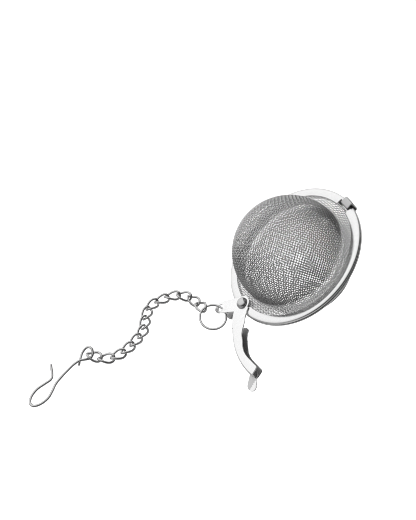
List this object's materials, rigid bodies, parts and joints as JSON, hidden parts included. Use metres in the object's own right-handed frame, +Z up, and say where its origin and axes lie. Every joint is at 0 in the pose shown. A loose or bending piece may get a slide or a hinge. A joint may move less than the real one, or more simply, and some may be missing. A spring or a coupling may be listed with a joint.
{
  "type": "mesh tea ball infuser",
  "caption": "Tea infuser: two hinged woven-mesh half balls with rolled rims, a swinging channel latch lever, a jump ring, a curb chain and a bent wire hook.",
  "frame": {"origin": "centre of the bounding box at the table", "axes": "+Z up from the table, +X from the hook towards the ball, +Y from the lever's free end towards the back"},
  "size_m": [0.1242, 0.0844, 0.0491],
  "materials": {
    "sheet_steel": "polished",
    "woven_steel": "woven wire",
    "wire_steel": "bright drawn wire"
  },
  "bodies": {
    "rear_half": {"rear_rim": "sheet_steel", "rear_bowl": "woven_steel", "hinge_strap": "sheet_steel", "rear_tab": "sheet_steel"},
    "front_half": {"front_rim": "sheet_steel", "front_bowl": "woven_steel", "latch_rivet": "sheet_steel"},
    "latch": {"latch_lever": "sheet_steel"},
    "ring": {"jump_ring": "wire_steel"},
    "link_01": {"chain_link_01": "wire_steel"},
    "link_02": {"chain_link_02": "wire_steel"},
    "link_03": {"chain_link_03": "wire_steel"},
    "link_04": {"chain_link_04": "wire_steel"},
    "link_05": {"chain_link_05": "wire_steel"},
    "link_06": {"chain_link_06": "wire_steel"},
    "link_07": {"chain_link_07": "wire_steel"},
    "link_08": {"chain_link_08": "wire_steel"},
    "link_09": {"chain_link_09": "wire_steel"},
    "link_10": {"chain_link_10": "wire_steel"},
    "link_11": {"chain_link_11": "wire_steel"},
    "link_12": {"chain_link_12": "wire_steel"},
    "link_13": {"chain_link_13": "wire_steel"},
    "link_14": {"chain_link_14": "wire_steel"},
    "hook": {"cup_hook": "wire_steel"}
  },
  "joints": [
    {"name": "half_hinge", "type": "hinge", "parent": "rear_half", "child": "front_half", "pos_m": [0.05856, 0.02148, 0.0433], "axis": [-0.3189, 0.9415, -0.109], "range_deg": [0, 175]},
    {"name": "latch_swing", "type": "hinge", "parent": "front_half", "child": "latch", "pos_m": [0.01831, 0.00005, 0.00946], "axis": [-0.6166, -0.1187, 0.7782], "range_deg": [-30, 55.5]},
    {"name": "ring_swing", "type": "hinge", "parent": "latch", "child": "ring", "pos_m": [0.00976, 0.00306, 0.00314], "axis": [-0.7972, 0.5839, 0.1534], "range_deg": [-26, 20]},
    {"name": "link_01_swing", "type": "hinge", "parent": "ring", "child": "link_01", "pos_m": [0.00289, 0.00272, 0.00308], "axis": [-0.733, -0.6596, -0.1663], "range_deg": [-25, 25]},
    {"name": "link_02_swing", "type": "hinge", "parent": "link_01", "child": "link_02", "pos_m": [0.00018, 0.00631, 0.00198], "axis": [0, 0, 1], "range_deg": [-7, 10]},
    {"name": "link_03_swing", "type": "hinge", "parent": "link_02", "child": "link_03", "pos_m": [-0.00347, 0.00951, 0.00147], "axis": [-0.5089, -0.8608, 0], "range_deg": [-25, 25]},
    {"name": "link_04_swing", "type": "hinge", "parent": "link_03", "child": "link_04", "pos_m": [-0.00793, 0.01077, 0.00136], "axis": [0, 0, 1], "range_deg": [-25, 7]},
    {"name": "link_05_swing", "type": "hinge", "parent": "link_04", "child": "link_05", "pos_m": [-0.01249, 0.00979, 0.00131], "axis": [0.4241, -0.9056, 0], "range_deg": [-25, 25]},
    {"name": "link_06_swing", "type": "hinge", "parent": "link_05", "child": "link_06", "pos_m": [-0.01659, 0.00732, 0.00131], "axis": [0, 0, 1], "range_deg": [-25, 10]},
    {"name": "link_07_swing", "type": "hinge", "parent": "link_06", "child": "link_07", "pos_m": [-0.01949, 0.00367, 0.00131], "axis": [0.9132, -0.4075, 0], "range_deg": [-25, 25]},
    {"name": "link_08_swing", "type": "hinge", "parent": "link_07", "child": "link_08", "pos_m": [-0.02073, -0.00088, 0.00131], "axis": [0, 0, 1], "range_deg": [-25, 25]},
    {"name": "link_09_swing", "type": "hinge", "parent": "link_08", "child": "link_09", "pos_m": [-0.02133, -0.00566, 0.00131], "axis": [0.9903, -0.1389, 0], "range_deg": [-25, 20]},
    {"name": "link_10_swing", "type": "hinge", "parent": "link_09", "child": "link_10", "pos_m": [-0.02285, -0.01016, 0.00131], "axis": [0, 0, 1], "range_deg": [-20, 25]},
    {"name": "link_11_swing", "type": "hinge", "parent": "link_10", "child": "link_11", "pos_m": [-0.02548, -0.01417, 0.00131], "axis": [0.7996, -0.6005, 0], "range_deg": [-25, 25]},
    {"name": "link_12_swing", "type": "hinge", "parent": "link_11", "child": "link_12", "pos_m": [-0.02869, -0.01768, 0.00131], "axis": [0, 0, 1], "range_deg": [-20, 25]},
    {"name": "link_13_swing", "type": "hinge", "parent": "link_12", "child": "link_13", "pos_m": [-0.03272, -0.02005, 0.00131], "axis": [0.3275, -0.9448, 0], "range_deg": [-25, 20]},
    {"name": "link_14_swing", "type": "hinge", "parent": "link_13", "child": "link_14", "pos_m": [-0.03734, -0.02032, 0.00131], "axis": [0, 0, 1], "range_deg": [-7, 25]},
    {"name": "hook_swing", "type": "hinge", "parent": "link_14", "child": "hook", "pos_m": [-0.04134, -0.01907, 0.0015], "axis": [0, 0, 1], "range_deg": [-25, 10]}
  ]
}
